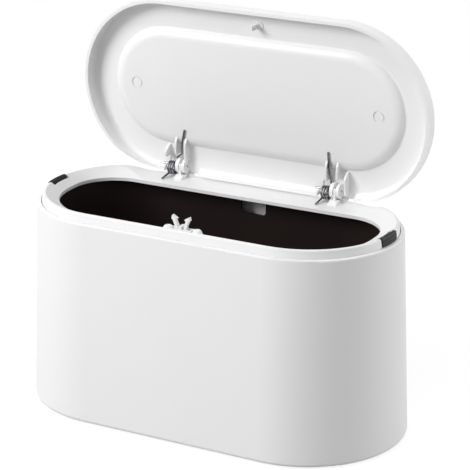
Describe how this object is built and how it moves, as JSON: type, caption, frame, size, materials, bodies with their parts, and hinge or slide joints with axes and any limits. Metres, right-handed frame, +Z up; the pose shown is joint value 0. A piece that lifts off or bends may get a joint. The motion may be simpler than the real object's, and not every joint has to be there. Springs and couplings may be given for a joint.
{
  "type": "desktop trash can",
  "caption": "Oval desktop trash can with a sprung flip-up lid, a press-to-close latch, ribbed release tabs at both ends and a dark inner bucket.",
  "frame": {"origin": "point on the floor under the middle of the can, at the height of the rubber feet's soles", "axes": "+X along the can to the right seen from the front, +Y from the front to the hinges, +Z up"},
  "size_m": [0.2386, 0.1202, 0.2372],
  "materials": {
    "white_shell": "smooth moulded polypropylene, soft sheen",
    "white_satin": "smooth moulded polypropylene, satin inside",
    "dark_liner": "fine-textured dark moulded liner",
    "grey_tab": "dark grey ribbed grip",
    "white_latch": "self-lubricating white moulding",
    "spring_steel": "drawn spring wire, bright",
    "steel_pin": "ground steel pin",
    "foot_rubber": "soft black pad"
  },
  "bodies": {
    "can": {"outer_casing": "white_shell", "base_plate": "white_shell", "rubber_foot_1": "foot_rubber", "rubber_foot_2": "foot_rubber", "rubber_foot_3": "foot_rubber", "rubber_foot_4": "foot_rubber", "inner_bucket": "dark_liner", "rim_frame": "white_satin", "hinge_pin_left": "steel_pin", "hinge_pin_right": "steel_pin", "torsion_spring_left": "spring_steel", "torsion_spring_right": "spring_steel", "latch_housing": "white_latch", "latch_spring": "spring_steel"},
    "lid": {"lid": "white_satin", "latch_striker": "white_satin"},
    "plunger": {"latch_plunger": "white_latch"},
    "jaw_left": {"latch_jaw_left": "white_latch"},
    "jaw_right": {"latch_jaw_right": "white_latch"},
    "tab_left": {"release_tab_left": "grey_tab"},
    "tab_right": {"release_tab_right": "grey_tab"}
  },
  "joints": [
    {"name": "lid_hinge", "type": "hinge", "parent": "can", "child": "lid", "pos_m": [0, 0.05007, 0.13177], "axis": [1, 0, 0], "range_deg": [0, 87.3], "stiffness_Nm_per_rad": 0.018, "springref_deg": -28.65, "deforming": ["torsion_spring_left", "torsion_spring_right"]},
    {"name": "latch_plunger", "type": "slide", "parent": "can", "child": "plunger", "axis": [0, 0, 1], "range_m": [-0.00505, 0], "stiffness_N_per_m": 100, "springref_m": 0.002, "deforming": ["latch_spring"]},
    {"name": "latch_jaw_left", "type": "hinge", "parent": "plunger", "child": "jaw_left", "pos_m": [-0.0013, -0.045, 0.1265], "axis": [0, 1, 0], "range_deg": [0, 8], "stiffness_Nm_per_rad": 0.0002, "springref_deg": -17.19},
    {"name": "latch_jaw_right", "type": "hinge", "parent": "plunger", "child": "jaw_right", "pos_m": [0.0043, -0.045, 0.1265], "axis": [0, 1, 0], "range_deg": [-8, 0], "stiffness_Nm_per_rad": 0.0002, "springref_deg": 17.19},
    {"name": "release_tab_left", "type": "slide", "parent": "can", "child": "tab_left", "axis": [1, 0, 0], "range_m": [0, 0.0015], "stiffness_N_per_m": 1000, "springref_m": -0.0005},
    {"name": "release_tab_right", "type": "slide", "parent": "can", "child": "tab_right", "axis": [-1, 0, 0], "range_m": [0, 0.0015], "stiffness_N_per_m": 1000, "springref_m": -0.0005}
  ],
  "couplings": [
    {"joint": "latch_plunger", "follows": "lid_hinge", "m_per_rad": -0.00328},
    {"joint": "latch_jaw_right", "follows": "latch_jaw_left", "ratio": -1}
  ]
}
